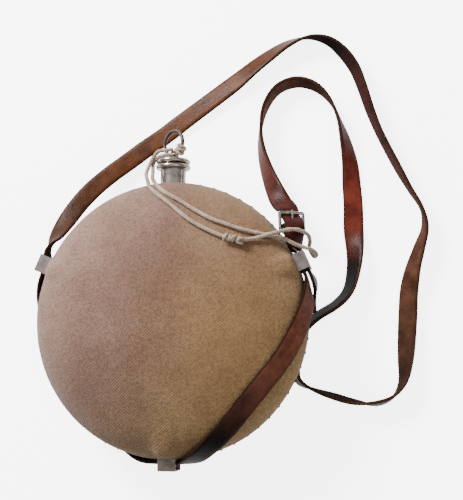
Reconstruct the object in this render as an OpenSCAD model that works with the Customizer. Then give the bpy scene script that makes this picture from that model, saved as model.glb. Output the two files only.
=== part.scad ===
// Round tin canteen with a cloth cover, stoppered neck, leather carrying strap and twine tether.
// Lies on its back dome. +Z is the disc axis, +Y runs out of the neck, z = 0 is the rest surface.

/* [Body] */
// Outside radius over the cloth cover at the rim
cover_r = 98; // [90:0.5:105]
// Height of the rim seam above the rest surface, half the thickness over the cover
seam_z = 36.5; // [30:0.5:42]
// Roundness of the dome, 2 is an ellipse and higher is squarer
dome_power = 2.22; // [2:0.02:2.6]
// Thickness of cloth and lining together
cover_t = 1.6; // [1:0.1:3]
// Tin plate thickness
tin_t = 0.8; // [0.5:0.1:1.2]
// Depth shaved off the back dome to give it a flat to lie on
flat_cut = 0.7; // [0.3:0.1:1.5]

/* [Neck and stopper] */
// Outside radius of the neck
neck_r = 9; // [7:0.1:12]
// Bore radius of the neck
bore_r = 7.5; // [5:0.1:10]
// Distance of the neck's lip bead from the disc axis
lip_y = 109; // [105:0.1:115]
// Outside radius of the lip bead and of the stopper cap
lip_r = 12.4; // [10:0.1:15]
// Radius of the bead's own round section
bead_r = 1.85; // [1:0.05:2.5]
// Radius of the ring, to the middle of its wire
ring_r = 8.9; // [6:0.1:14]
// Diameter of the ring's wire
ring_wire = 2.6; // [1.5:0.1:4]
// Turn of the ring's plane about the neck
ring_turn = -32; // [-90:1:90]

/* [Keepers] */
// Angle of the side keepers from the neck
keeper_angle = 67; // [50:1:85]
// Width of the keeper strip
keeper_w = 12.6; // [8:0.1:18]
// Metal thickness of the keeper strip
keeper_t = 0.9; // [0.5:0.1:1.5]
// Outside radius of the keeper's bridge
bridge_r = 105; // [102:0.1:112]
// Half height of the keeper over its legs
keeper_half = 9; // [7:0.1:12]

/* [Strap and twine] */
// Width of the leather strap
strap_w = 14.6; // [10:0.1:25]
// Thickness of the leather strap
strap_t = 2.4; // [1.5:0.1:4]
// Diameter of the tether twine
twine_d = 2.8; // [1.5:0.1:5]

/* [Buckle] */
// Radius of the buckle's bars
bar_r = 1.2; // [0.6:0.05:2]
// Distance from the heel bar to the far bar
buckle_len = 11.4; // [8:0.1:20]
// Half distance between the side bars
buckle_half = 8.7; // [6:0.1:14]

/* [Node] */
// Which sub-part to show

/* [Hidden] */
$fn = 96;
tin_r = cover_r - cover_t;
tin_h = seam_z - cover_t;
inner_r = tin_r - tin_t;
profile_step = 4;
keeper_angles = [90 + keeper_angle, 90 - keeper_angle, 270];
lap_depth = 3;
eye_y = 118;
eye_r = 2.7;
eye_wire = 1.6;
shank_r = 1.1;
cork_top = 111.3;
cork_bottom = 94;
fit_gap = 0.1;

// ---- dome profile ----
function dome_x(r, t) = r * pow(max(cos(t), 0), 2 / dome_power);
function dome_z(h, t) = h * pow(max(sin(t), 0), 2 / dome_power);
function dome_pts(r, h, top, t0, t1) = [for (i = [0 : round((t1 - t0) / profile_step)])
  let (t = t0 + i * (t1 - t0) / round((t1 - t0) / profile_step))
  [dome_x(r, t), min(dome_z(h, t), top)]];
function back_to_front(v) = [for (i = [len(v) - 1 : -1 : 0]) v[i]];

// half shell between two domes, opening at z = 0
module half_dome(r, h, t, top) {
  rotate_extrude($fn = 144)
    polygon(concat(dome_pts(r, h, top, 0, 90), back_to_front(dome_pts(r - t, h - t, top - t, 0, 90))));
}

module neck_axis(y) {
  translate([0, y, seam_z]) rotate([-90, 0, 0]) rotate([0, 0, 50]) children();
}

// ---- tin body ----
module front_shell() {
  color([0.62, 0.62, 0.6])
    difference() {
      translate([0, 0, seam_z]) half_dome(tin_r, tin_h, tin_t, tin_h);
      neck_axis(60) cylinder(r = neck_r, h = 60);
    }
}

module back_shell() {
  color([0.6, 0.6, 0.58])
    difference() {
      translate([0, 0, seam_z])
        mirror([0, 0, 1])
          rotate_extrude($fn = 144)
            polygon(concat(dome_pts(tin_r, tin_h + flat_cut, tin_h, 0, 90),
              back_to_front(dome_pts(inner_r, tin_h + flat_cut - tin_t, tin_h - tin_t, 10, 90)),
              [[inner_r - 1, 4.5], [inner_r - 1, -lap_depth], [inner_r - 0.25, -lap_depth], [inner_r - 0.25, 0]]));
      neck_axis(60) cylinder(r = neck_r, h = 60);
    }
}

module spout() {
  color([0.66, 0.64, 0.6])
    difference() {
      union() {
        neck_axis(84) cylinder(r = neck_r, h = lip_y - 84 + 0.8);
        neck_axis(lip_y)
          rotate_extrude() union() {
            translate([lip_r - bead_r, 0]) circle(r = bead_r, $fn = 32);
            translate([neck_r - 1, -bead_r + 0.3]) square([lip_r - bead_r - neck_r + 1, 2 * bead_r - 0.6]);
          }
      }
      neck_axis(80) cylinder(r = bore_r, h = 40);
    }
}

// ---- strap keepers ----
module keeper(a) {
  rotate([0, 0, a])
    translate([tin_r, -keeper_w / 2, seam_z - keeper_half])
      difference() {
        cube([bridge_r - tin_r, keeper_w, 2 * keeper_half]);
        translate([keeper_t, -1, keeper_t])
          cube([bridge_r - tin_r - 2 * keeper_t, keeper_w + 2, 2 * (keeper_half - keeper_t)]);
      }
}

module keeper_left() { color([0.78, 0.78, 0.76]) keeper(keeper_angles[0]); }

module keeper_right() { color([0.78, 0.78, 0.76]) keeper(keeper_angles[1]); }

module keeper_bottom() { color([0.78, 0.78, 0.76]) keeper(keeper_angles[2]); }

// ---- cloth cover ----
module cover_openings() {
  neck_axis(60) cylinder(r = neck_r + 0.25, h = 60);
  for (a = keeper_angles)
    rotate([0, 0, a])
      translate([tin_r - 3, -keeper_w / 2 - 0.2, seam_z - keeper_half - 0.2])
        cube([8, keeper_w + 0.4, 2 * keeper_half + 0.4]);
}

module front_cover() {
  color([0.62, 0.5, 0.37])
    difference() {
      translate([0, 0, seam_z]) half_dome(cover_r, seam_z, cover_t, seam_z);
      cover_openings();
    }
}

module back_cover() {
  color([0.6, 0.49, 0.36])
    difference() {
      translate([0, 0, seam_z])
        mirror([0, 0, 1])
          half_dome(cover_r, seam_z + flat_cut, cover_t, seam_z);
      cover_openings();
    }
}

stitch_angles = concat([for (a = [36 : 6 : 78]) a], [for (a = [102 : 6 : 144]) a],
  [for (a = [176 : 6 : 248]) a], [for (a = [292 : 6 : 364]) a]);

module cover_stitching() {
  color([0.16, 0.12, 0.1])
    for (a = stitch_angles)
      rotate([0, 0, a])
        translate([cover_r + 0.37, 0, seam_z])
          rotate([24, 0, 0])
            cylinder(d = 0.7, h = 5, center = true, $fn = 16);
}

// ---- stopper ----
module cork() {
  color([0.66, 0.5, 0.33])
    neck_axis(cork_bottom)
      difference() {
        cylinder(r1 = bore_r - 0.6, r2 = bore_r - fit_gap, h = cork_top - cork_bottom);
        translate([0, 0, -1]) cylinder(r = shank_r + 0.05, h = 30);
      }
}

module stopper_cap() {
  color([0.64, 0.62, 0.58])
    neck_axis(cork_top)
      rotate_extrude()
        difference() {
          union() {
            translate([lip_r - bead_r, 1.7]) circle(r = bead_r - 0.15, $fn = 32);
            polygon([[shank_r + 0.05, 0], [lip_r - bead_r, 0], [lip_r - bead_r, 2.8],
              [6, 3], [shank_r + 0.05, 3.2]]);
          }
          translate([-20, -5]) square([20 + shank_r + 0.05, 20]);
        }
}

module torus(major, minor) {
  rotate_extrude($fn = 64) translate([major, 0]) circle(r = minor, $fn = 24);
}

module stopper_eye() {
  color([0.36, 0.34, 0.32]) {
    translate([0, eye_y, seam_z]) rotate([0, 90 + ring_turn, 0]) torus(eye_r, eye_wire / 2);
    neck_axis(92.5) cylinder(r = shank_r, h = eye_y - eye_r - 92.5);
    neck_axis(92.2) cylinder(r = 2.1, h = 0.9);
  }
}

module cork_washer() {
  color([0.5, 0.48, 0.45])
    neck_axis(93.1)
      difference() {
        cylinder(r = 4.4, h = 0.9);
        translate([0, 0, -1]) cylinder(r = shank_r + 0.05, h = 3);
      }
}

module stopper_ring() {
  color([0.17, 0.15, 0.14])
    translate([0, eye_y + ring_r, seam_z]) rotate([0, ring_turn, 0]) torus(ring_r, ring_wire / 2);
}

// three turns of twine round the ring's wire, close to the eye
hitch_angles = [-58, -40, -22];

module ring_hitch() {
  color([0.8, 0.73, 0.6])
    translate([0, eye_y + ring_r, seam_z])
      rotate([0, ring_turn, 0])
        for (a = hitch_angles)
          rotate([0, 0, a])
            translate([ring_r, 0, 0])
              rotate([90, 0, 0])
                torus(ring_wire / 2 + 0.05 + twine_d * 0.4, twine_d * 0.4);
}

// ---- swept cords and straps ----
function unit(v) = v / norm(v);
function clampi(i, n) = min(max(i, 0), n - 1);
function spline1(a, b, c, d, u) = 0.5 * ((2 * b) + (c - a) * u + (2 * a - 5 * b + 4 * c - d) * u * u
  + (3 * b - a - 3 * c + d) * u * u * u);
function spline(v, steps) = concat([for (i = [0 : len(v) - 2]) for (k = [0 : steps - 1])
  spline1(v[clampi(i - 1, len(v))], v[i], v[i + 1], v[clampi(i + 2, len(v))], k / steps)],
  [v[len(v) - 1]]);
function tangent(p, i) = unit(p[clampi(i + 1, len(p))] - p[clampi(i - 1, len(p))]);
function skin_faces(n, m) = concat([[for (k = [m - 1 : -1 : 0]) k]],
  [for (i = [0 : n - 2]) for (k = [0 : m - 1]) let (a = i * m + k, b = i * m + (k + 1) % m) each
    [[a, b, b + m], [a, b + m, a + m]]],
  [[for (k = [0 : m - 1]) (n - 1) * m + k]]);

// round cord along a list of points
function cord_ring(p, i, r, m) = let (t = tangent(p, i), s = unit(cross(t, [0.2, 0.25, -0.95])), u = cross(s, t))
  [for (k = [0 : m - 1]) p[i] + r * (cos(360 * k / m) * s + sin(360 * k / m) * u)];

module round_cord(route, d, steps, m) {
  p = spline(route, steps);
  polyhedron([for (i = [0 : len(p) - 1]) each cord_ring(p, i, d / 2, m)], skin_faces(len(p), m), convexity = 8);
}

// flat band along points, with the grain side's normal at each point
function band_ring(p, nn, i, w, h) = let (t = tangent(p, i), s = unit(cross(t, nn[i])), u = cross(s, t))
  [p[i] - w * s - h * u, p[i] + w * s - h * u, p[i] + w * s + h * u, p[i] - w * s + h * u];

module flat_band(p, nn, w, t) {
  polyhedron([for (i = [0 : len(p) - 1]) each band_ring(p, nn, i, w / 2, t / 2)],
    skin_faces(len(p), 4), convexity = 12);
}

// ---- buckle frame of reference: x along the heel bar, y towards the far bar, z out of its face ----
buckle_at = [85.8, 62.8, 38];
buckle_heading = 3;
buckle_pitch = -4;
buckle_roll = 26;
prong_r = 0.6;
prong_lift = bar_r + prong_r + 0.1;
function turn_x(v, a) = [v[0], v[1] * cos(a) - v[2] * sin(a), v[1] * sin(a) + v[2] * cos(a)];
function turn_y(v, a) = [v[0] * cos(a) + v[2] * sin(a), v[1], -v[0] * sin(a) + v[2] * cos(a)];
function turn_z(v, a) = [v[0] * cos(a) - v[1] * sin(a), v[0] * sin(a) + v[1] * cos(a), v[2]];
function to_buckle(v) = turn_z(turn_x(turn_y(v, buckle_roll), buckle_pitch), buckle_heading);
function at_buckle(v) = buckle_at + to_buckle(v);

module in_buckle() {
  translate(buckle_at) rotate([0, 0, buckle_heading]) rotate([buckle_pitch, 0, 0]) rotate([0, buckle_roll, 0])
    children();
}

// ---- strap route ----
// on the canteen: angle round the rim, height up the dome, gap under the strap
rim_route = [[157, 0, 1.5], [161, -0.2, 1.5], [165.5, -4, 1.8], [172, -13, 2.2], [182, -24, 2.6], [194, -32, 2.6],
  [208, -36, 2.4], [222, -36, 2.4], [236, -32, 2.4], [248, -23, 2.4], [257, -12, 2.1], [262.5, -4, 1.8], [266, -0.3, 1.5],
  [270, 0, 1.5], [274, 0.3, 1.5], [277.5, 4, 1.8], [283, 14, 2.2], [291, 24, 2.6], [301, 31, 2.8],
  [314, 36, 3], [328, 36, 3], [340, 32, 2.8], [350, 27, 2.6], [359, 20, 2.4], [367, 11.5, 2.3], [374, 3.5, 2],
  [377.5, 1, 1.7]];
function rim_xy(a, r) = [r * cos(a), r * sin(a), 0];
function rim_slope(t) = let (d = [dome_x(cover_r, t + 1) - dome_x(cover_r, t - 1),
  dome_z(seam_z, t + 1) - dome_z(seam_z, max(t - 1, 0))]) unit([d[1], -d[0]]);
function rim_normal(q) = let (t = abs(q[1]), n = t < 4 ? [1, 0] : rim_slope(t))
  unit(rim_xy(q[0], n[0]) + [0, 0, sign(q[1]) * n[1]]);
function rim_point(q) = let (t = abs(q[1]))
  rim_xy(q[0], dome_x(cover_r, t)) + [0, 0, seam_z + sign(q[1]) * dome_z(seam_z, t)] + q[2] * rim_normal(q);

// on the ground: x, y, lift of the lowest edge, tilt of the strap's width out of level
function flat_height(q) = q[2] + 0.2 + abs(sin(q[3])) * strap_w / 2 + abs(cos(q[3])) * strap_t / 2;
function flat_point(q) = [q[0], q[1], flat_height(q)];
function flat_normal(v, i) = let (a = v[clampi(i - 1, len(v))], b = v[clampi(i + 1, len(v))],
  t = unit([b[0] - a[0], b[1] - a[1], 0]), s = [t[1], -t[0], 0])
  -sin(v[i][3]) * s + cos(v[i][3]) * [0, 0, 1];

billet_route = [[100, 5, 14, -88], [99.6, 14, 15, -89], [101.4, 22, 21, -90], [99.6, 28.5, 27, -90]];
loop_route = [[77.5, 83, 24, -10], [71, 95, 17, 22], [64.5, 111, 7, 47], [60, 128, 1, 67], [59.5, 144, 0, 82],
  [63, 160, 0, 94], [72, 173, 0, 100], [86, 178, 0, 104], [100, 174, 0, 101], [111, 163, 0, 91],
  [118, 147, 0, 82], [122, 132, 0, 62], [125, 116, 0, 42], [126, 100, 0, 26], [127, 84, 0, 16],
  [127, 68, 0, 2], [128, 52, 0, -28], [127, 37, 0, -46], [123, 22, 0, -57], [114, 12, 0, -62],
  [101, 4, 0, -62], [91, -5, 0, -58], [86, -17, 0, -56], [84.5, -30, 0, -58], [87, -42, 0, -72],
  [97, -48, 0, -91], [112, -53, 0, -103], [127, -57, 0, -100], [142, -58, 0, -82], [154, -53, 0, -90],
  [161, -42, 0, -112], [163, -27, 0, -138], [164, -11, 0, -152], [165, 5, 0, -158], [166, 21, 0, -152],
  [169, 37, 0, -137], [174, 53, 0, -121], [178, 67, 0, -105], [176, 81, 0, -91], [168, 95, 0, -95],
  [160, 110, 0, -102], [153, 124, 0, -103], [146, 139, 0, -104], [140, 155, 0, -110], [135, 171, 0, -113],
  [129, 187, 0, -116], [120, 200, 0, -113], [109, 209, 0, -97], [95, 212, 0, -76], [80, 208, 0, -56],
  [66, 200, 0, -40], [53, 191, 0, -30], [40, 181, 0, -18], [26, 171, 0, -12], [12, 161, 0, -9],
  [-2, 151, 0, -6], [-15, 141, 1, -4], [-29, 131, 3, -2], [-42, 121, 5, 0], [-53, 112, 8, -2],
  [-65, 100.5, 12.5, 0], [-74, 89, 17, 0], [-81.5, 76, 21.5, -6], [-87.8, 61.5, 26, -30], [-91.8, 48.8, 29, -89]];
// beside the buckle, in its own directions: along, out of the face
billet_buckle = [[2, 5.2], [5, 3], [8, -0.4], [11.5, -3.6], [16, -5.4]];
chape_buckle = [[1.2, 2.3], [2.6, 0], [1.2, -2.3], [-1.2, -2.9], [-3.2, -3.2]];
chape_normal = [[0.5, 0.87], [1, 0], [0.5, -0.87], [-0.1, -1], [-0.2, -0.98]];
billet_normal = [[0.25, 0.97], [0.5, 0.86], [0.66, 0.75], [0.5, 0.86], [0.25, 0.97]];

billet_p = [for (q = billet_route) flat_point(q)];
billet_n = [for (i = [0 : len(billet_route) - 1]) flat_normal(billet_route, i)];
loop_p = [for (q = loop_route) flat_point(q)];
loop_n = [for (i = [0 : len(loop_route) - 1]) flat_normal(loop_route, i)];
rim_p = [for (q = rim_route) rim_point(q)];
rim_n = [for (q = rim_route) rim_normal(q)];
// the two layers that share the right keeper and twist together up to the buckle, either side of one line
keeper_out = [cos(keeper_angles[1]), sin(keeper_angles[1]), 0];
keeper_along = [-sin(keeper_angles[1]), cos(keeper_angles[1]), 0];
function in_keeper(along, out) = (101 + out) * keeper_out + along * keeper_along + [0, 0, seam_z];
link_start = in_keeper(7, 0);
link_end = at_buckle([0, -1.5, 4.4]);
link_pull = 16;
link_steps = [0, 0.2, 0.4, 0.6, 0.8, 1];
function link_mid(u) = (2 * u * u * u - 3 * u * u + 1) * link_start
  + (u * u * u - 2 * u * u + u) * link_pull * keeper_along
  + (3 * u * u - 2 * u * u * u) * link_end + (u * u * u - u * u) * link_pull * to_buckle([0, 1, 0]);
function link_along(u) = unit(link_mid(u + 0.01) - link_mid(u - 0.01));
function link_normal(u) = let (n = (1 - u) * keeper_out + u * to_buckle([0, 0, 1]), t = link_along(u))
  unit(n - (n * t) * t);
layer_gap = 1.6;
link_n = concat([keeper_out, keeper_out], [for (u = link_steps) link_normal(u)]);
inner_p = concat([in_keeper(-5, -layer_gap), in_keeper(2, -layer_gap)],
  [for (u = link_steps) link_mid(u) - (layer_gap + 4.6 * u * (1 - u) + 0.1 * u) * link_normal(u)]);
outer_p = concat([in_keeper(-5, layer_gap), in_keeper(2, layer_gap)],
  [for (u = link_steps) link_mid(u) + (layer_gap + 4.6 * u * (1 - u) + 0.1 * u) * link_normal(u)]);

strap_p = concat(billet_p, outer_p, [for (q = billet_buckle) at_buckle([0, q[0], q[1]])], loop_p, rim_p,
  inner_p, [for (q = chape_buckle) at_buckle([0, q[0], q[1]])]);
strap_n = concat(billet_n, link_n, [for (q = billet_normal) to_buckle([0, q[0], q[1]])], loop_n, rim_n,
  link_n, [for (q = chape_normal) to_buckle([0, q[0], q[1]])]);

module carrying_strap() {
  color([0.3, 0.13, 0.09])
    difference() {
      flat_band(spline(strap_p, 2), spline(strap_n, 2), strap_w, strap_t);
      in_buckle() {
        hull()
          for (y = [-3, 3]) translate([0, y, -5]) cylinder(r = 1.9, h = 8.8, $fn = 24);
        for (a = [0 : 4 : 28])
          rotate([a, 0, 0])
            hull()
              for (y = [2, 9]) translate([0, y, prong_lift]) sphere(r = 1.1, $fn = 16);
      }
    }
}

module chape_thread() {
  color([0.7, 0.62, 0.48])
    in_buckle()
      for (x = [-4.6, 4.6])
        for (y = [-2.6, -1.2])
          translate([x - 0.3, y, -4.75]) cube([0.6, 0.8, 0.5]);
}

module buckle_frame() {
  color([0.72, 0.72, 0.7])
    in_buckle() {
      for (x = [-buckle_half, buckle_half])
        translate([x, 0, 0]) rotate([-90, 0, 0]) cylinder(r = bar_r, h = buckle_len, $fn = 32);
      for (y = [0, buckle_len])
        translate([-buckle_half, y, 0]) rotate([0, 90, 0]) cylinder(r = bar_r, h = 2 * buckle_half, $fn = 32);
      for (x = [-buckle_half, buckle_half])
        for (y = [0, buckle_len])
          translate([x, y, 0]) sphere(r = bar_r, $fn = 32);
    }
}

module buckle_prong() {
  color([0.6, 0.6, 0.58])
    in_buckle() {
      rotate([0, 90, 0])
        difference() {
          cylinder(r = 1.9, h = 2.4, center = true, $fn = 48);
          cylinder(r = bar_r + 0.08, h = 6, center = true, $fn = 48);
        }
      translate([0, 1.3, prong_lift]) rotate([-90, 0, 0]) cylinder(r = prong_r, h = buckle_len + 0.6, $fn = 24);
    }
}

// ---- twine ----
function on_dome(x, y, lift) = let (r = norm([x, y]), q = min(r / cover_r, 0.999))
  [x, y, seam_z + seam_z * pow(1 - pow(q, dome_power), 1 / dome_power) + lift];

lead_a = [[1, 117.4, 42], [-4.5, 117.2, 42.5], [-10.5, 116.2, 40], [-13.8, 114.2, 37.6]];
lead_b = [[1, 120.8, 43.8], [-4, 120.6, 43], [-11.6, 119.4, 40.5], [-17.2, 115.4, 37.2]];
upper_run = [[-14.6, 113, 36.6], [-14.6, 106, 38], [-13.4, 99.8, 44], on_dome(-8.5, 93.6, 2.2), on_dome(-1, 87, 2),
  on_dome(10.5, 80, 2), on_dome(21.5, 73, 2), on_dome(32, 67, 2), on_dome(42.5, 63, 2), on_dome(52.5, 59.5, 2),
  on_dome(64, 57, 2), on_dome(73.5, 55.3, 2.4), [81.5, 54, 50.5], [88.6, 50.4, 48], [95.2, 48.4, 44],
  [99.8, 47.4, 39.5], [102.6, 45, 35.5], [101.2, 44, 30.5], [98.6, 46.5, 27]];
lower_run = [[96.9, 51, 27.5], [97.8, 55, 32.5], [97, 58, 38.5], [93, 60, 44.5], [87, 60.5, 49.5], [80, 58.5, 54.5],
  [72.5, 56.2, 57.5], on_dome(63, 53, 2.6), on_dome(53, 51.5, 2.2), on_dome(43, 53.5, 2), on_dome(34, 57, 2),
  on_dome(26, 61, 2), on_dome(18.5, 65.5, 2), on_dome(11.5, 71, 2), on_dome(3, 78.4, 2), on_dome(-5.5, 85, 2),
  on_dome(-12.6, 91.5, 2.2), [-17.6, 100, 43.5], [-18.8, 107, 38.5], [-18.2, 113.6, 36.6]];

module tether_lead() {
  color([0.8, 0.74, 0.62]) {
    round_cord(lead_a, twine_d, 4, 8);
    round_cord(lead_b, twine_d, 4, 8);
  }
}

module tether_cord() {
  color([0.8, 0.74, 0.62]) round_cord(concat(upper_run, lower_run), twine_d, 2, 8);
}

front_shell();
back_shell();
spout();
keeper_left();
keeper_right();
keeper_bottom();
front_cover();
back_cover();
cover_stitching();
cork();
stopper_cap();
stopper_eye();
cork_washer();
stopper_ring();
ring_hitch();
tether_lead();
tether_cord();
carrying_strap();
chape_thread();
buckle_frame();
buckle_prong();
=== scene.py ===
import math

import bpy
import bmesh
import numpy as np
from mathutils import Matrix, Vector, noise


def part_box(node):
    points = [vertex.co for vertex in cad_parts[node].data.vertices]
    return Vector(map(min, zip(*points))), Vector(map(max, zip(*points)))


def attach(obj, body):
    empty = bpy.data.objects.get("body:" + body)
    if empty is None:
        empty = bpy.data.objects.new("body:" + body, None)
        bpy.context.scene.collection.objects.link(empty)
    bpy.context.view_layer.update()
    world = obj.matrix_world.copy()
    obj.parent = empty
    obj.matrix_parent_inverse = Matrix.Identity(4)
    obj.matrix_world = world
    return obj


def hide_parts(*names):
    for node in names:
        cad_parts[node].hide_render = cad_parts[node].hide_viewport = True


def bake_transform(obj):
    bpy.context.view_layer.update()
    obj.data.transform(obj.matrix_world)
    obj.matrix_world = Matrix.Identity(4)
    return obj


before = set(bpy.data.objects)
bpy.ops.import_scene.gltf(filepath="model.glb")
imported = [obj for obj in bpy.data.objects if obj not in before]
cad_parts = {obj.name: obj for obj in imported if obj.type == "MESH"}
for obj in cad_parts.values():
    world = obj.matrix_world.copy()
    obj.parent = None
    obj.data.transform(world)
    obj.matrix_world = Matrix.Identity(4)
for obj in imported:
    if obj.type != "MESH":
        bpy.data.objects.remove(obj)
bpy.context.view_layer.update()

MM = 0.001

# ---- driving sizes, worked out from the frame, in millimetres ----
cover_low, cover_high = (np.array(p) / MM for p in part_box("front_cover"))
COVER_R = cover_high[0]
SEAM_Z = cover_low[2]
DOME_H = SEAM_Z
DOME_POWER = 2.22  # the dome's outline is a superellipse of this power
STRAP_W = 14.6
STRAP_T = 2.4
TWINE_D = 2.8
KEEPER_ANGLES = (157, 23, 270)  # left, right and bottom, round the disc from +X
KEEPER_OUT = 101.0  # from the disc's axis to the middle of the keeper's window
KEEPER_W = 12.6
KEEPER_HALF = 9.0
BUCKLE_AT = (85.8, 62.8, 38.0)
BUCKLE_HEADING, BUCKLE_PITCH, BUCKLE_ROLL = 3, -4, 26
EYE_Y = 118.0
RING_R = 8.9
RING_TURN = -32
STITCH_R = 97.95
STITCH_D = 0.6
STITCH_ANGLES = [*range(36, 79, 6), *range(102, 145, 6), *range(176, 249, 6), *range(292, 365, 6)]


# ---- small vector helpers ----
def unit(v):
    v = np.array(v, float)
    return v / np.linalg.norm(v)


def spline(points, steps):
    """The smooth curve through the points, steps to each stretch."""
    p = np.array(points, float)
    out = []
    for i in range(len(p) - 1):
        a, b, c, d = p[max(i - 1, 0)], p[i], p[i + 1], p[min(i + 2, len(p) - 1)]
        for k in range(steps):
            u = k / steps
            out.append(0.5 * (2 * b + (c - a) * u + (2 * a - 5 * b + 4 * c - d) * u * u
                              + (3 * b - a - 3 * c + d) * u ** 3))
    out.append(p[-1])
    return np.array(out)


def evenly(points, count):
    """The polyline walked in equal steps."""
    gaps = np.linalg.norm(np.diff(points, axis=0), axis=1)
    walked = np.concatenate([[0], np.cumsum(gaps)])
    where = np.linspace(0, walked[-1], count)
    return np.stack([np.interp(where, walked, points[:, k]) for k in range(points.shape[1])], axis=1)


def tangents(p):
    """Unit directions along the polyline."""
    t = np.gradient(p, axis=0)
    return t / np.linalg.norm(t, axis=1)[:, None]


def new_object(name, verts, faces, body):
    """A smooth mesh from points in millimetres, riding on a body if one is named."""
    mesh = bpy.data.meshes.new(name)
    mesh.from_pydata([tuple(v) for v in np.array(verts, float) * MM], [], [tuple(f) for f in faces])
    mesh.validate()
    mesh.update()
    obj = bpy.data.objects.new(name, mesh)
    bpy.context.scene.collection.objects.link(obj)
    for poly in mesh.polygons:
        poly.use_smooth = True
    if body:
        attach(obj, body)
    return obj


def tube_mesh(rings, closed=False):
    """Vertices and faces of a skin over rings of equal count, with flat ends unless it is closed."""
    rings = np.array(rings, float)
    n, m = rings.shape[:2]
    verts = rings.reshape(-1, 3)
    faces = []
    for i in range(n if closed else n - 1):
        for k in range(m):
            a, b = i * m, ((i + 1) % n) * m
            faces.append((a + k, a + (k + 1) % m, b + (k + 1) % m, b + k))
    if not closed:
        faces.append(tuple(range(m - 1, -1, -1)))
        faces.append(tuple((n - 1) * m + k for k in range(m)))
    return verts, faces


# ---- camera ----
CAMERA_AT = (162, -57, 772)
# turns about X, Y and Z, in degrees, from looking straight down
CAMERA_TURN = (8.13, 9.15, 0.4)
CAMERA_LENS = 76.8


def make_camera():
    """A plain camera that looks nearly straight down on the canteen."""
    data = bpy.data.cameras.new("camera")
    data.sensor_width = 36
    data.lens = CAMERA_LENS
    data.clip_end = 20
    obj = bpy.data.objects.new("camera", data)
    bpy.context.scene.collection.objects.link(obj)
    obj.location = Vector(CAMERA_AT) * MM
    obj.rotation_euler = [math.radians(a) for a in CAMERA_TURN]
    bpy.context.scene.camera = obj


# ---- material helpers ----
class Paint:
    """One material and the few node patterns that it is built from."""

    def __init__(self, name):
        self.mat = bpy.data.materials.new(name)
        self.mat.use_nodes = True
        self.tree = self.mat.node_tree
        self.tree.nodes.clear()
        self.out = self.tree.nodes.new("ShaderNodeOutputMaterial")
        self.shader = self.tree.nodes.new("ShaderNodeBsdfPrincipled")
        self.link(self.shader.outputs["BSDF"], self.out.inputs["Surface"])
        self.place = self.tree.nodes.new("ShaderNodeTexCoord").outputs["Object"]

    def link(self, a, b):
        self.tree.links.new(a, b)

    def set(self, **values):
        """Constant values on the shader's own sockets."""
        for key, value in values.items():
            self.shader.inputs[key.replace("_", " ")].default_value = value
        return self

    def node(self, kind, inputs=(), **settings):
        n = self.tree.nodes.new("ShaderNode" + kind)
        for key, value in settings.items():
            setattr(n, key, value)
        for key, value in dict(inputs).items():
            if isinstance(value, bpy.types.NodeSocket):
                self.link(value, n.inputs[key])
            else:
                n.inputs[key].default_value = value
        return n

    def noise(self, scale, detail=4, rough=0.6, place=None):
        n = self.node("TexNoise", {"Scale": scale, "Detail": detail, "Roughness": rough})
        self.link(place or self.place, n.inputs["Vector"])
        return n.outputs["Fac"]

    def math(self, operation, a, b=0.0, c=0.0, clamp=False):
        return self.node("Math", {0: a, 1: b, 2: c}, operation=operation, use_clamp=clamp).outputs[0]

    def ramp(self, fac, stops):
        """A colour ramp through (place, colour) stops."""
        n = self.node("ValToRGB", {"Fac": fac})
        ramp = n.color_ramp
        while len(ramp.elements) < len(stops):
            ramp.elements.new(0.5)
        for element, (at, colour) in zip(ramp.elements, stops):
            element.position = at
            element.color = (*colour, 1) if len(colour) == 3 else colour
        return n.outputs["Color"]

    def mix(self, fac, a, b, blend="MIX"):
        n = self.node("Mix", data_type="RGBA", blend_type=blend)
        for socket, value in ((n.inputs[0], fac), (n.inputs[6], a), (n.inputs[7], b)):
            if isinstance(value, bpy.types.NodeSocket):
                self.link(value, socket)
            else:
                socket.default_value = (*value, 1) if isinstance(value, tuple) else value
        return n.outputs[2]

    def bump(self, height, distance, strength=1.0, normal=None):
        n = self.node("Bump", {"Height": height, "Distance": distance, "Strength": strength})
        if normal:
            self.link(normal, n.inputs["Normal"])
        return n.outputs["Normal"]

    def mask(self, fac, low, high):
        """Black up to low and white from high."""
        return self.ramp(fac, [(low, BLACK), (high, WHITE)])

    def colour(self, socket):
        self.link(socket, self.shader.inputs["Base Color"])

    def rough(self, socket):
        self.link(socket, self.shader.inputs["Roughness"])

    def normal(self, socket):
        self.link(socket, self.shader.inputs["Normal"])


def grey(value):
    return (value, value, value)


BLACK, WHITE = grey(0), grey(1)


def srgb(r, g, b):
    """A display colour from 0 to 255 as the linear colour of a shader."""
    return tuple(((c / 255 + 0.055) / 1.055) ** 2.4 if c > 10 else c / 255 / 12.92 for c in (r, g, b))


def separate(p, vector):
    """The three coordinates of a vector."""
    return p.node("SeparateXYZ", {"Vector": vector}).outputs


# ---- materials ----
RIB_PITCH = 0.0021
RIB_WOBBLE = 0.0024


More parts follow.
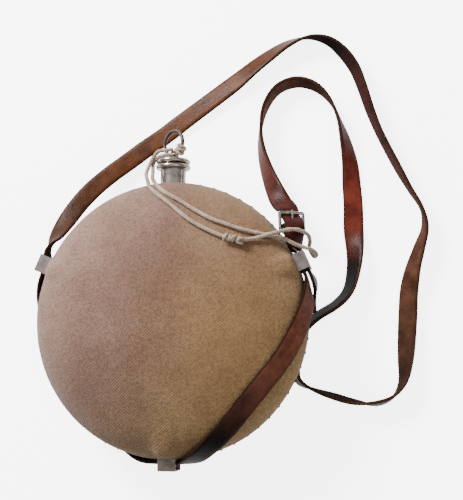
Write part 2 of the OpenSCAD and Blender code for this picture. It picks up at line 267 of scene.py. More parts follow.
def cloth_material():
    """Faded twill: slanting ribs broken into threads, mottled, greyer to the left, and darker below with
    painted shade.
    """
    p = Paint("khaki_twill").set(Roughness=0.93, Specular_IOR_Level=0.15, Sheen_Weight=0.1,
                                 Sheen_Roughness=0.6)
    x, y, _ = separate(p, p.place)
    mottle = p.noise(22, 5, 0.62)
    stain = p.math("SUBTRACT", p.noise(8, 4, 0.55), 0.5)

    # ribs, slanting across the cloth as it is laid out by its distance from the dome's pole
    flat_x, flat_y, _ = separate(p, p.node("Attribute", attribute_name="flat").outputs["Vector"])
    wobble = p.math("MULTIPLY", p.math("SUBTRACT", p.noise(55, 3), 0.5), RIB_WOBBLE)
    rib = p.math("ADD", p.math("SUBTRACT", flat_y, flat_x), wobble)
    rib = p.math("SINE", p.math("MULTIPLY", rib, 2 * math.pi / RIB_PITCH))
    broken = p.noise(560, 3, 0.8)
    weave = p.math("MULTIPLY_ADD", rib, 0.21, p.math("MULTIPLY_ADD", broken, 1.8, -0.4))

    side = p.math("ADD", p.math("MULTIPLY", x, 3.2), p.math("MULTIPLY", y, -1.8))
    side = p.math("ADD", side, p.math("MULTIPLY", stain, 0.5))
    side = p.math("ADD", side, 0.5, clamp=True)
    base = p.ramp(side, [(0.05, srgb(140, 115, 103)), (0.42, srgb(120, 93, 79)),
                         (0.62, srgb(136, 108, 75)), (1.0, srgb(154, 125, 78))])
    dark = p.mix(1.0, base, srgb(214, 202, 192), "MULTIPLY")
    colour = p.mix(p.mask(mottle, 0.3, 0.7), dark, base)
    thread = p.ramp(weave, [(0.1, (0.46, 0.44, 0.42)), (0.5, grey(0.86)), (0.9, grey(1.22))])
    colour = p.mix(1.0, colour, thread, "MULTIPLY")
    # painted shade: grime here darkens the cloth towards low y and high x, broken up by the stain noise
    low = p.math("ADD", p.math("MULTIPLY_ADD", y, 6.0, 0.66), p.math("MULTIPLY", x, -1.2))
    grime = p.math("ADD", low, p.math("MULTIPLY", stain, 0.35), clamp=True)
    colour = p.mix(1.0, colour, p.ramp(grime, [(0.0, grey(0.68)), (0.7, WHITE)]), "MULTIPLY")
    speck = p.ramp(p.noise(240, 1, 0.4), [(0.0, BLACK), (0.8, BLACK), (0.84, WHITE)])
    p.colour(p.mix(p.math("MULTIPLY", speck, 0.5), colour, srgb(90, 68, 52)))

    height = p.math("ADD", weave, p.math("MULTIPLY", p.noise(1500, 2, 0.7), 0.8))
    p.normal(p.bump(mottle, 0.0022, 0.5, p.bump(height, 0.00035, 0.8)))
    return p.mat


def metal_material(name, colour, rough, wear=0.12, scale=260, dark=0.55, metallic=1.0, keeper=None):
    """Worn metal with dull blotches, and on a keeper with painted shade darkening its edges."""
    p = Paint(name).set(Metallic=metallic)
    blotch = p.noise(scale, 6, 0.65)
    tint = p.ramp(blotch, [(0.3, tuple(c * dark for c in colour)), (0.55, colour)])
    if keeper is not None:
        x, y, z = separate(p, p.place)
        a = math.radians(keeper)
        along = p.math("ADD", p.math("MULTIPLY", x, -math.sin(a)), p.math("MULTIPLY", y, math.cos(a)))
        up = p.math("DIVIDE", p.math("SUBTRACT", z, SEAM_Z * MM), KEEPER_HALF * MM)
        along = p.math("DIVIDE", along, KEEPER_W / 2 * MM)
        edge = p.math("MAXIMUM", p.math("ABSOLUTE", along), p.math("ABSOLUTE", up))
        # painted shade: the keeper darkened towards its edges, round its face
        painted_edge_shade = p.ramp(edge, [(0.8, WHITE), (0.97, (0.3, 0.27, 0.25))])
        tint = p.mix(1.0, tint, painted_edge_shade, "MULTIPLY")
    p.colour(tint)
    p.rough(p.math("MULTIPLY_ADD", p.noise(scale * 2.3, 4), wear, rough - wear / 2))
    p.normal(p.bump(p.noise(scale * 4, 3), 0.0001, 0.1))
    return p.mat


def cork_material():
    """Granular cork, dark in its pores."""
    p = Paint("cork").set(Roughness=0.85)
    p.colour(p.ramp(p.noise(420, 5, 0.7), [(0.3, srgb(96, 62, 36)), (0.5, srgb(164, 120, 78)),
                                           (0.7, srgb(186, 145, 100))]))
    p.normal(p.bump(p.noise(700, 4), 0.0004, 0.6))
    return p.mat


def twine_material():
    """Grubby cotton with fine darker fibres."""
    p = Paint("cotton_twine").set(Roughness=0.95, Sheen_Weight=0.35, Specular_IOR_Level=0.12)
    grime = p.noise(70, 4)
    fibre = p.noise(1500, 3, 0.75)
    base = p.ramp(grime, [(0.3, srgb(150, 124, 104)), (0.55, srgb(196, 174, 154)),
                          (0.75, srgb(220, 204, 184))])
    p.colour(p.mix(p.ramp(fibre, [(0.35, WHITE), (0.6, BLACK)]), base, srgb(128, 102, 80)))
    p.normal(p.bump(fibre, 0.0012, 1.0))
    return p.mat


def thread_material(name, colour):
    """Waxed thread, blotched down to half its brightness."""
    p = Paint(name).set(Roughness=0.8)
    p.colour(p.ramp(p.noise(900, 3), [(0.35, tuple(c * 0.5 for c in colour)), (0.65, colour)]))
    p.normal(p.bump(p.noise(1600, 3), 0.0003, 0.6))
    return p.mat


# Colours along the strap from its tip: partly the leather's own tone and partly painted light and shade,
# tan where the light falls on it and near black in the inner loop and round the rim, where it lies in
# shade.
GRAIN_TONE_WITH_PAINTED_LIGHT = [
    (0.0, srgb(48, 22, 20)), (0.15, srgb(78, 32, 24)), (0.21, srgb(108, 46, 34)), (0.24, srgb(10, 6, 5)),
    (0.53, srgb(18, 10, 8)), (0.59, srgb(86, 48, 24)), (0.7, srgb(58, 32, 15)), (0.88, srgb(10, 5, 4)),
    (0.94, srgb(108, 62, 46)), (1.0, srgb(52, 24, 19))]
FLESH_TONE_WITH_PAINTED_LIGHT = [
    (0.0, srgb(48, 27, 20)), (0.1, srgb(128, 92, 80)), (0.14, srgb(56, 32, 24)), (0.35, srgb(40, 26, 22)),
    (0.41, srgb(80, 52, 38)), (0.5, srgb(56, 28, 26)), (0.54, srgb(12, 8, 7)), (1.0, srgb(44, 26, 19))]
EDGE_STOPS = [
    (0.0, srgb(46, 26, 18)), (0.3, srgb(84, 56, 40)), (0.5, srgb(64, 38, 28)), (1.0, srgb(44, 25, 18))]


def leather_material(name, stops, rough, coat, grain_scale, grain_depth, streaks=0.35, gloss=0.04):
    """Leather whose colour, painted light and shade included, runs along the strap by the run attribute,
    with scuffs, creases and pores.
    """
    p = Paint(name).set(Coat_Weight=coat, Coat_Roughness=0.3, Specular_IOR_Level=gloss)
    run = p.node("Attribute", attribute_name="run").outputs["Fac"]
    base = p.ramp(run, stops)
    mottle = p.noise(75, 6, 0.66)
    patches = p.noise(26, 3, 0.5)
    dark = p.mix(1.0, base, (0.42, 0.38, 0.36), "MULTIPLY")
    light = p.mix(1.0, base, (1.5, 1.42, 1.32), "MULTIPLY")
    colour = p.mix(p.mask(mottle, 0.36, 0.62), dark, base)
    colour = p.mix(p.math("MULTIPLY", p.mask(patches, 0.5, 0.68), streaks), colour, light)
    across = p.node("Attribute", attribute_name="across").outputs["Fac"]
    edge = p.math("ABSOLUTE", across)
    rim = p.mask(edge, 0.72, 0.98)
    colour = p.mix(p.math("MULTIPLY", rim, 0.65), colour, p.mix(1.0, base, (0.3, 0.26, 0.25), "MULTIPLY"))
    p.colour(colour)
    p.rough(p.math("MULTIPLY_ADD", mottle, 0.3, rough - 0.15))
    pores = p.node("TexVoronoi", {"Scale": grain_scale, "Vector": p.place}).outputs["Distance"]
    p.normal(p.bump(p.math("ADD", pores, p.math("MULTIPLY", mottle, 1.5)), grain_depth, 0.55))
    return p.mat


FLOOR_BOUNCE = 0.12


def floor_material():
    """A pale floor that glows white round the canteen."""
    p = Paint("pale_floor").set(Roughness=0.9, Base_Color=(*grey(0.93), 1), Specular_IOR_Level=0.0,
                                Emission_Color=(*WHITE, 1))
    x, y, _ = separate(p, p.place)
    away = p.math("SQRT", p.math("ADD", p.math("MULTIPLY", x, x), p.math("MULTIPLY", y, y)))
    glow = p.ramp(away, [(0.42, grey(5.0)), (0.9, grey(0.5))])
    # the floor looks white, and throws only a share of that light onto the object
    seen = p.node("LightPath").outputs["Is Camera Ray"]
    share = p.math("MULTIPLY_ADD", seen, 1 - FLOOR_BOUNCE, FLOOR_BOUNCE)
    p.link(p.math("MULTIPLY", glow, share), p.shader.inputs["Emission Strength"])
    return p.mat


# ---- the strap's route, the same points as the CAD model ----
# x, y, lift off the floor and tilt in degrees, and round the rim: angle, height as a dome angle, gap
BILLET_ROUTE = [(100, 5, 14, -88), (99.6, 14, 15, -89), (101.4, 22, 21, -90), (99.6, 28.5, 27, -90)]
LOOP_ROUTE = [
    (77.5, 83, 24, -10), (71, 95, 17, 22), (64.5, 111, 7, 47), (60, 128, 1, 67), (59.5, 144, 0, 82),
    (63, 160, 0, 94), (72, 173, 0, 100), (86, 178, 0, 104), (100, 174, 0, 101), (111, 163, 0, 91),
    (118, 147, 0, 82), (122, 132, 0, 62), (125, 116, 0, 42), (126, 100, 0, 26), (127, 84, 0, 16),
    (127, 68, 0, 2), (128, 52, 0, -28), (127, 37, 0, -46), (123, 22, 0, -57), (114, 12, 0, -62),
    (101, 4, 0, -62), (91, -5, 0, -58), (86, -17, 0, -56), (84.5, -30, 0, -58), (87, -42, 0, -72),
    (97, -48, 0, -91), (112, -53, 0, -103), (127, -57, 0, -100), (142, -58, 0, -82), (154, -53, 0, -90),
    (161, -42, 0, -112), (163, -27, 0, -138), (164, -11, 0, -152), (165, 5, 0, -158), (166, 21, 0, -152),
    (169, 37, 0, -137), (174, 53, 0, -121), (178, 67, 0, -105), (176, 81, 0, -91), (168, 95, 0, -95),
    (160, 110, 0, -102), (153, 124, 0, -103), (146, 139, 0, -104), (140, 155, 0, -110), (135, 171, 0, -113),
    (129, 187, 0, -116), (120, 200, 0, -113), (109, 209, 0, -97), (95, 212, 0, -76), (80, 208, 0, -56),
    (66, 200, 0, -40), (53, 191, 0, -30), (40, 181, 0, -18), (26, 171, 0, -12), (12, 161, 0, -9),
    (-2, 151, 0, -6), (-15, 141, 1, -4), (-29, 131, 3, -2), (-42, 121, 5, 0), (-53, 112, 8, -2),
    (-65, 100.5, 12.5, 0), (-74, 89, 17, 0), (-81.5, 76, 21.5, -6), (-87.8, 61.5, 26, -30),
    (-91.8, 48.8, 29, -89)]
RIM_ROUTE = [
    (157, 0, 1.5), (161, -0.2, 1.5), (165.5, -4, 1.8), (172, -13, 2.2), (182, -24, 2.6), (194, -32, 2.6),
    (208, -36, 2.4), (222, -36, 2.4), (236, -32, 2.4), (248, -23, 2.4), (257, -12, 2.1), (262.5, -4, 1.8),
    (266, -0.3, 1.5), (270, 0, 1.5), (274, 0.3, 1.5), (277.5, 4, 1.8), (283, 14, 2.2), (291, 24, 2.6),
    (301, 31, 2.8), (314, 36, 3), (328, 36, 3), (340, 32, 2.8), (350, 27, 2.6), (359, 20, 2.4),
    (367, 11.5, 2.3), (374, 3.5, 2), (377.5, 1, 1.7)]
BILLET_BUCKLE = [(2, 5.2), (5, 3), (8, -0.4), (11.5, -3.6), (16, -5.4)]
BILLET_NORMAL = [(0.25, 0.97), (0.5, 0.86), (0.66, 0.75), (0.5, 0.86), (0.25, 0.97)]
CHAPE_BUCKLE = [(1.2, 2.3), (2.6, 0), (1.2, -2.3), (-1.2, -2.9), (-3.2, -3.2)]
CHAPE_NORMAL = [(0.5, 0.87), (1, 0), (0.5, -0.87), (-0.1, -1), (-0.2, -0.98)]
LINK_STEPS = (0, 0.2, 0.4, 0.6, 0.8, 1)
LINK_PULL = 16
LAYER_GAP = 1.6


def turned(v):
    """A direction in the buckle's own frame, in the object's frame."""
    turn = (Matrix.Rotation(math.radians(BUCKLE_HEADING), 3, "Z")
            @ Matrix.Rotation(math.radians(BUCKLE_PITCH), 3, "X")
            @ Matrix.Rotation(math.radians(BUCKLE_ROLL), 3, "Y"))
    return np.array(turn @ Vector(v))


def at_buckle(v):
    """A point given from the middle of the buckle's heel bar, in the object's frame."""
    return np.array(BUCKLE_AT) + turned(v)


def dome_x(t):
    """The dome's radius at t, which runs from 0 at the seam to 90 at the pole."""
    return COVER_R * max(math.cos(math.radians(t)), 0) ** (2 / DOME_POWER)


def dome_z(t):
    """The dome's height over the seam at t, which runs from 0 at the seam to 90 at the pole."""
    return DOME_H * max(math.sin(math.radians(t)), 0) ** (2 / DOME_POWER)


def rim_station(angle, height, gap):
    """A point of the strap beside the rim, and the way its grain side faces."""
    t = abs(height)
    out, up = (1, 0) if t < 4 else (dome_z(t + 1) - dome_z(t - 1), dome_x(t - 1) - dome_x(t + 1))
    a = math.radians(angle)
    side = math.copysign(1, height)
    normal = unit((out * math.cos(a), out * math.sin(a), side * up))
    place = np.array((dome_x(t) * math.cos(a), dome_x(t) * math.sin(a), SEAM_Z + side * dome_z(t)))
    return place + gap * normal, normal


def flat_stations(route):
    """Points of the strap where it lies on the floor or leans, and the way its grain side faces."""
    out = []
    for i, (x, y, lift, tilt) in enumerate(route):
        before, after = route[max(i - 1, 0)], route[min(i + 1, len(route) - 1)]
        t = unit((after[0] - before[0], after[1] - before[1], 0))
        s = np.array((t[1], -t[0], 0))
        a = math.radians(tilt)
        height = lift + 0.2 + abs(math.sin(a)) * STRAP_W / 2 + abs(math.cos(a)) * STRAP_T / 2
        out.append(((x, y, height), -math.sin(a) * s + math.cos(a) * np.array((0, 0, 1))))
    return out


def link_stations():
    """The two layers that share the right keeper, inner and outer, up to the buckle."""
    a = math.radians(KEEPER_ANGLES[1])
    out = np.array((math.cos(a), math.sin(a), 0))
    along = np.array((-math.sin(a), math.cos(a), 0))
    start = KEEPER_OUT * out + 7 * along + (0, 0, SEAM_Z)
    end = at_buckle((0, -1.5, 4.4))
    ahead, face = turned((0, 1, 0)), turned((0, 0, 1))

    def middle(u):
        return ((2 * u ** 3 - 3 * u * u + 1) * start + (u ** 3 - 2 * u * u + u) * LINK_PULL * along
                + (3 * u * u - 2 * u ** 3) * end + (u ** 3 - u * u) * LINK_PULL * ahead)

    inner, outer = [], []
    for step in (-5, 2):
        base = KEEPER_OUT * out + step * along + (0, 0, SEAM_Z)
        inner.append((base - LAYER_GAP * out, out))
        outer.append((base + LAYER_GAP * out, out))
    for u in LINK_STEPS:
        t = unit(middle(u + 0.01) - middle(u - 0.01))
        n = (1 - u) * out + u * face
        n = unit(n - n.dot(t) * t)
        gap = LAYER_GAP + 4.6 * u * (1 - u) + 0.1 * u
        inner.append((middle(u) - gap * n, n))
        outer.append((middle(u) + gap * n, n))
    return inner, outer


def strap_line():
    """Every point of the strap from its tip to its turn round the buckle, and its facing there."""
    inner, outer = link_stations()
    stations = flat_stations(BILLET_ROUTE) + outer
    stations += [(at_buckle((0, *q)), turned((0, *n))) for q, n in zip(BILLET_BUCKLE, BILLET_NORMAL)]
    stations += flat_stations(LOOP_ROUTE) + [rim_station(*q) for q in RIM_ROUTE] + inner
    stations += [(at_buckle((0, *q)), turned((0, *n))) for q, n in zip(CHAPE_BUCKLE, CHAPE_NORMAL)]
    return np.array([s[0] for s in stations]), np.array([s[1] for s in stations])


# the strap's section over the grain side and back under, in shares of its half width and half thickness
SECTION = [
    (-0.97, 0.55), (-0.9, 0.93), (-0.6, 1.0), (-0.3, 1.0), (0, 1.0), (0.3, 1.0), (0.6, 1.0), (0.9, 0.93),
    (0.97, 0.55), (1.0, 0.0), (0.97, -0.6), (0.9, -0.95), (0.6, -1.0), (0.3, -1.0), (0, -1.0), (-0.3, -1.0),
    (-0.6, -1.0), (-0.9, -0.95), (-0.97, -0.6), (-1.0, 0.0)]
GRAIN_FACES = range(1, 7)
FLESH_FACES = range(11, 17)
TIP_LENGTH = 9  # the rounded tip
HEEL_LENGTH = 3  # the narrowed end under the buckle


def make_strap(materials):
    """The leather strap, one skin along its whole route."""
    p, n = strap_line()
    p, n = spline(p, 4), spline(n, 4)
    t = tangents(p)
    n = n - (n * t).sum(1)[:, None] * t
    n /= np.linalg.norm(n, axis=1)[:, None]
    w = np.cross(t, n)
    gaps = np.concatenate([[0], np.cumsum(np.linalg.norm(np.diff(p, axis=0), axis=1))])
    rings, last = [], len(p) - 1
    for i in range(len(p)):
        taper = 1.0
        if gaps[i] < TIP_LENGTH:
            taper = 0.35 + 0.65 * math.sqrt(max(0, 1 - (1 - gaps[i] / TIP_LENGTH) ** 2))
        if gaps[last] - gaps[i] < HEEL_LENGTH:
            taper = 0.85 + 0.05 * (gaps[last] - gaps[i])
        wave = 1 + 0.02 * noise.noise(Vector((gaps[i] * 0.06, 3.1, 0)))
        half = STRAP_W / 2 * taper * wave
        rings.append([p[i] + a * half * w[i] + b * STRAP_T / 2 * n[i] for a, b in SECTION])
    verts, faces = tube_mesh(rings)
    obj = new_object("strap_leather", verts, faces, "canteen")
    mesh = obj.data
    for m in materials:
        mesh.materials.append(m)
    count = len(SECTION)
    for f, poly in enumerate(mesh.polygons):
        k = f % count
        poly.material_index = 0 if k in GRAIN_FACES else 1 if k in FLESH_FACES else 2
    run = mesh.attributes.new("run", "FLOAT", "POINT")
    run.data.foreach_set("value", np.repeat(gaps / gaps[-1], count).astype(np.float32))
    across = mesh.attributes.new("across", "FLOAT", "POINT")
    across.data.foreach_set("value", np.tile([s[0] for s in SECTION], len(p)).astype(np.float32))
    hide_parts("carrying_strap")


# ---- the twine's route, the same points as the CAD model ----
def on_dome(x, y, lift):
    """A point lifted off the front dome."""
    q = min(math.hypot(x, y) / COVER_R, 0.999)
    return (x, y, SEAM_Z + DOME_H * (1 - q ** DOME_POWER) ** (1 / DOME_POWER) + lift)


LEAD_A = [(1, 117.4, 42), (-4.5, 117.2, 42.5), (-10.5, 116.2, 40), (-13.8, 114.2, 37.6)]
LEAD_B = [(1, 120.8, 43.8), (-4, 120.6, 43), (-11.6, 119.4, 40.5), (-17.2, 115.4, 37.2)]
UPPER_RUN = [
    (-14.6, 113, 36.6), (-14.6, 106, 38), (-13.4, 99.8, 44), on_dome(-8.5, 93.6, 2.2), on_dome(-1, 87, 2),
    on_dome(10.5, 80, 2), on_dome(21.5, 73, 2), on_dome(32, 67, 2), on_dome(42.5, 63, 2),
    on_dome(52.5, 59.5, 2), on_dome(64, 57, 2), on_dome(73.5, 55.3, 2.4), (81.5, 54, 50.5),
    (88.6, 50.4, 48), (95.2, 48.4, 44), (99.8, 47.4, 39.5), (102.6, 45, 35.5), (101.2, 44, 30.5),
    (98.6, 46.5, 27)]
LOWER_RUN = [
    (96.9, 51, 27.5), (97.8, 55, 32.5), (97, 58, 38.5), (93, 60, 44.5), (87, 60.5, 49.5), (80, 58.5, 54.5),
    (72.5, 56.2, 57.5), on_dome(63, 53, 2.6), on_dome(53, 51.5, 2.2), on_dome(43, 53.5, 2),
    on_dome(34, 57, 2), on_dome(26, 61, 2), on_dome(18.5, 65.5, 2), on_dome(11.5, 71, 2),
    on_dome(3, 78.4, 2), on_dome(-5.5, 85, 2), on_dome(-12.6, 91.5, 2.2), (-17.6, 100, 43.5),
    (-18.8, 107, 38.5), (-18.2, 113.6, 36.6)]
TWINE_FUZZ = 1.08  # how much thicker the visible twine is than the CAD model's


def parallel_frames(p):
    """Side directions carried along a line without spinning round it."""
    t = tangents(p)
    side = unit(np.cross(t[0], (0.2, 0.25, -0.95)))
    sides = [side]
    for i in range(1, len(p)):
        side = side - side.dot(t[i]) * t[i]
        side = unit(side)
        sides.append(side)
    sides = np.array(sides)
    return t, sides, np.cross(t, sides)


def rope_rings(p, d, lobes=3, sides=15, pitch=9.0, depth=0.2, turn0=0.0):
    """A laid cord: rings with a lobe for each strand, turned along the line."""
    t, a, b = parallel_frames(p)
    walked = np.concatenate([[0], np.cumsum(np.linalg.norm(np.diff(p, axis=0), axis=1))])
    rings = []
    for i in range(len(p)):
        spin = turn0 + 2 * math.pi * walked[i] / pitch
        slub = 1 + 0.16 * noise.noise(Vector((walked[i] * 0.25, turn0, 7)))
        slub += 0.1 * noise.noise(Vector((walked[i] * 0.8, turn0, 3)))
        ring = []
        for k in range(sides):
            q = 2 * math.pi * k / sides
            lobe = abs(math.cos((q - spin) * lobes / 2))
            r = d / 2 * slub * (1 - depth + depth * lobe)
            ring.append(p[i] + r * (math.cos(q) * a[i] + math.sin(q) * b[i]))
        rings.append(ring)
    return rings, walked


def make_twine(material, pieces):
    """The whole doubled twine in one run, from the ring to the right keeper and back."""
    line = np.array(LEAD_A[:-1] + UPPER_RUN + LOWER_RUN[:-1] + LEAD_B[-2::-1])
    p = evenly(spline(line, 12), 900)
    rings, walked = rope_rings(p, TWINE_D * TWINE_FUZZ, pitch=6.5, depth=0.4)
    verts, faces = tube_mesh(rings)
    obj = new_object("tether_twine", verts, faces, None)
    obj.data.materials.append(material)
    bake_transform(obj)
    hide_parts("tether_cord", "tether_lead")


# ---- stitching, knot and hitch ----
def cords_mesh(name, lines, d, body, material, lobes=1, depth=0.0):
    """Several short cords as one object, each a tube along its own line."""
    verts, faces = [], []
    for k, line in enumerate(lines):
        rings, _ = rope_rings(np.array(line), d, lobes=lobes, sides=10, pitch=7.0, depth=depth, turn0=k)
        more, those = tube_mesh(rings)
        faces.extend(tuple(i + len(verts) for i in face) for face in those)
        verts.extend(more)
    obj = new_object(name, verts, faces, body)
    obj.data.materials.append(material)
    return obj


def make_stitches(material):
    """Whip stitches over the seam where the two halves of the cover meet."""
    lines = []
    for k, angle in enumerate(STITCH_ANGLES):
        turn = angle + 0.8 * noise.noise(Vector((k * 0.7, 0, 0)))
        line = []
        for across in (-1, -0.5, 0, 0.5, 1):
            a = math.radians(turn + 0.55 * across)
            r = STITCH_R - 0.3 * across * across
            line.append((r * math.cos(a), r * math.sin(a), SEAM_Z + 2.1 * across))
        lines.append(line)
    obj = cords_mesh("seam_stitches", lines, STITCH_D, "canteen", material)
    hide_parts("cover_stitching")


def wound(start, end, radius, turns, count, phase=0.0):
    """A line wound round a straight core."""
    start, end = np.array(start, float), np.array(end, float)
    along = unit(end - start)
    side = unit(np.cross(along, (0, 0, 1)))
    up = np.cross(side, along)
    line = []
    for i in range(count + 1):
        u = i / count
        q = phase + 2 * math.pi * turns * u
        line.append(start + (end - start) * u + radius * (math.cos(q) * side + math.sin(q) * up))
    return line


def make_knot(material):
    """The knot in the twine's lower run, with two short frayed ends."""
    left, right = np.array(on_dome(42.5, 53.4, 3.4)), np.array(on_dome(52.5, 51.5, 3.4))
    lines = [
        wound(left, right, 1.9, 3.4, 60),
        wound(right + (0.4, 0, 0.5), left + (0, 0, 0.9), 1.5, 2.2, 44, 1.4),
        [right + q for q in ((-1, 0, 1.2), (0.8, 0.6, 1.8), (2.4, 0.6, 1.7), (4.0, 0.1, 0.9))],
        [right + q for q in ((-2, -0.6, 0.8), (-0.4, -2.0, 1.2), (1.4, -2.8, 0.8), (3.0, -3.0, 0.2))]]
    knot = cords_mesh("twine_knot", lines, 2.1, "canteen", material, lobes=3, depth=0.3)
    return knot


def make_hitch(material):
    """Turns of twine made fast round the ring's wire, close to the eye."""
    turn = math.radians(RING_TURN)
    centre = np.array((0, EYE_Y + RING_R, SEAM_Z))

    def ring_point(angle, out, aside):
        a = math.radians(angle)
        x, y = (RING_R + out) * math.cos(a), (RING_R + out) * math.sin(a)
        return centre + np.array((x * math.cos(turn) + aside * math.sin(turn), y,
                                  -x * math.sin(turn) + aside * math.cos(turn)))

    lines = []
    for first, last, radius, turns, phase in ((-66, -14, 2.3, 3.6, 0.0), (-20, -60, 2.9, 2.3, 2.0)):
        line = []
        for i in range(73):
            u = i / 72
            q = phase + 2 * math.pi * turns * u
            line.append(ring_point(first + (last - first) * u, radius * math.cos(q), radius * math.sin(q)))
        lines.append(line)
    obj = cords_mesh("ring_hitch_twine", lines, 2.2, "ring", material, lobes=3, depth=0.25)
    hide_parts("ring_hitch")
    return obj


# ---- cloth covers ----
CLOTH_T = 1.2
SLOW_SWELL, SMALL_SWELL = 0.35, 0.12


def bulge(x, y, z):
    """How far the keepers' feet and the foot of the neck push the cloth out at a point near the rim."""
    angle = math.degrees(math.atan2(y, x)) % 360
    total = 0.0
    for k in KEEPER_ANGLES:
        across = (angle - k + 180) % 360 - 180
        rise = 3.2 if z > SEAM_Z else 1.2
        total += rise * math.exp(-(across / 4.6) ** 4) * math.exp(-((abs(z - SEAM_Z) - 16) / 6) ** 2)
    aside = (angle - 90 + 180) % 360 - 180
    total += 1.8 * math.exp(-(aside / 9) ** 2) * math.exp(-((abs(z - SEAM_Z) - 14) / 6) ** 2)
    return total


def cloth_half(name, side, node, material):
    """One dome of the cover: a fine surface with slow swells, made thick by a solidify modifier."""
    turns, steps = 360, 88
    rings, flat, arc, last = [], [], 0.0, (0.0, DOME_H)
    for i in range(steps + 1):
        t = 90 * i / steps
        r, h = dome_x(90 - t), dome_z(90 - t)
        arc += math.hypot(r - last[0], h - last[1])
        last = (r, h)
        ring = []
        for k in range(turns):
            a = 2 * math.pi * k / turns
            x, y = r * math.cos(a), r * math.sin(a)
            if i or not k:
                # the pole is one point, so only its first turn counts
                flat.append((arc * MM * math.cos(a), arc * MM * math.sin(a), side))
            z = SEAM_Z + side * h
            out = np.array((x / COVER_R, y / COVER_R, side * h / DOME_H))
            out = unit(out) if np.linalg.norm(out) > 0 else np.array((0, 0, side))
            swell = SLOW_SWELL * noise.noise(Vector((x * 0.018, y * 0.018, side * 5)))
            swell += SMALL_SWELL * noise.noise(Vector((x * 0.07, y * 0.07, side * 9)))
            swell += bulge(x, y, z) - SLOW_SWELL
            point = np.array((x, y, z)) + swell * out
            point[2] = min(max(point[2], 0.05), 2 * SEAM_Z + 1)
            ring.append(point)
        rings.append(ring)
    verts, faces = [rings[0][0]], []
    for ring in rings[1:]:
        verts.extend(ring)
    for k in range(turns):
        faces.append((0, 1 + k, 1 + (k + 1) % turns))
    for i in range(1, steps):
        for k in range(turns):
            a, b = 1 + (i - 1) * turns, 1 + i * turns
            faces.append((a + k, b + k, b + (k + 1) % turns, a + (k + 1) % turns))
    if side < 0:
        faces = [f[::-1] for f in faces]
    obj = new_object(name, verts, faces, "canteen")
    obj.data.materials.append(material)
    # each point laid out flat by its distance over the dome from the pole, for the weave
    spread = obj.data.attributes.new("flat", "FLOAT_VECTOR", "POINT")
    spread.data.foreach_set("vector", np.array(flat, np.float32).ravel())
    skin = obj.modifiers.new("thickness", "SOLIDIFY")
    skin.thickness = CLOTH_T * MM
    skin.offset = -1
    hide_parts(node)


# ---- studio ----
def make_floor(material):
    """The floor, half a millimetre under the canteen."""
    mesh = bpy.data.meshes.new("floor")
    bm = bmesh.new()
    bmesh.ops.create_grid(bm, x_segments=8, y_segments=8, size=6)
    bm.to_mesh(mesh)
    bm.free()
    obj = bpy.data.objects.new("floor", mesh)
    obj.location = (0, 0, -0.0005)
    bpy.context.scene.collection.objects.link(obj)
    mesh.materials.append(material)


def area_light(name, at, target, size, power, colour):
    """A round lamp aimed at a point, in metres and watts."""
    data = bpy.data.lights.new(name, "AREA")
    data.shape = "DISK"
    data.size = size
    data.energy = power
    data.color = colour
    obj = bpy.data.objects.new(name, data)
    bpy.context.scene.collection.objects.link(obj)
    obj.location = at
    obj.rotation_euler = (Vector(target) - Vector(at)).to_track_quat("-Z", "Y").to_euler()


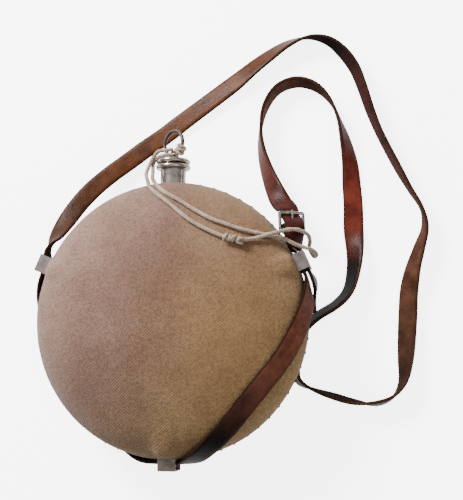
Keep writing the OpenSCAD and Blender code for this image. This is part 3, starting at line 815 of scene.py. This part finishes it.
def make_lights():
    """A sky that is grey below and white above, a key lamp at the upper left and a weak fill."""
    world = bpy.data.worlds.new("studio")
    world.use_nodes = True
    tree = world.node_tree
    background = tree.nodes["Background"]
    place = tree.nodes.new("ShaderNodeTexCoord")
    height = tree.nodes.new("ShaderNodeSeparateXYZ")
    ramp = tree.nodes.new("ShaderNodeValToRGB")
    ramp.color_ramp.elements[0].position = 0.0
    ramp.color_ramp.elements[0].color = (0.22, 0.22, 0.23, 1)
    ramp.color_ramp.elements[1].position = 0.75
    ramp.color_ramp.elements[1].color = (1, 1, 1, 1)
    tree.links.new(place.outputs["Generated"], height.inputs["Vector"])
    tree.links.new(height.outputs["Z"], ramp.inputs["Fac"])
    tree.links.new(ramp.outputs["Color"], background.inputs["Color"])
    background.inputs["Strength"].default_value = 0.8
    bpy.context.scene.world = world
    area_light("key", (-0.62, 0.85, 0.8), (0, 0, 0.04), 0.4, 46, (1, 0.98, 0.98))
    area_light("fill", (0.8, -0.5, 1.3), (0.05, 0, 0.03), 1.0, 5, (1, 0.97, 0.93))


# ---- build ----
make_camera()
cloth = cloth_material()
grain = leather_material("leather_grain", GRAIN_TONE_WITH_PAINTED_LIGHT, 0.38, 0.015, 900, 0.0003, gloss=0.07)
flesh = leather_material("leather_flesh", FLESH_TONE_WITH_PAINTED_LIGHT, 0.85, 0.0, 1500, 0.0006, 0.2)
edge = leather_material("leather_edge", EDGE_STOPS, 0.6, 0.0, 700, 0.0004, 0.1)
make_strap((grain, flesh, edge))
twine = twine_material()
make_twine(twine, [make_knot(twine), make_hitch(twine)])

cloth_half("cloth_front", 1, "front_cover", cloth)
cloth_half("cloth_back", -1, "back_cover", cloth)

pewter = metal_material("pewter", srgb(166, 155, 149), 0.24, 0.08, 180, 0.5)
tin = metal_material("tinplate", srgb(215, 212, 208), 0.34, 0.15, 90, 0.6)
keeper_tints = {"left": srgb(244, 238, 244), "right": srgb(244, 236, 236), "bottom": srgb(206, 194, 190)}
keeper_looks = [metal_material("bright_tin_" + side, tint, 0.34, 0.2, 160, 0.5, keeper=angle)
                for (side, tint), angle in zip(keeper_tints.items(), KEEPER_ANGLES)]
iron = metal_material("dark_iron", srgb(62, 50, 46), 0.42, 0.2, 300, 0.4, 0.6)
nickel = metal_material("worn_nickel", srgb(168, 158, 152), 0.24, 0.15, 400, 0.25)
cork_look = cork_material()
dark_thread = thread_material("dark_thread", srgb(46, 33, 27))
pale_thread = thread_material("pale_thread", srgb(190, 166, 130))
make_stitches(dark_thread)

LOOKS = {
    "front_shell": tin, "back_shell": tin, "spout": pewter, "keeper_left": keeper_looks[0],
    "keeper_right": keeper_looks[1], "keeper_bottom": keeper_looks[2], "cork": cork_look,
    "stopper_cap": pewter,
    "stopper_eye": iron, "cork_washer": pewter, "stopper_ring": iron, "chape_thread": pale_thread,
    "buckle_frame": nickel, "buckle_prong": nickel}
for node, look in LOOKS.items():
    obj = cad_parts[node]
    obj.data.materials.clear()
    obj.data.materials.append(look)

make_floor(floor_material())
make_lights()
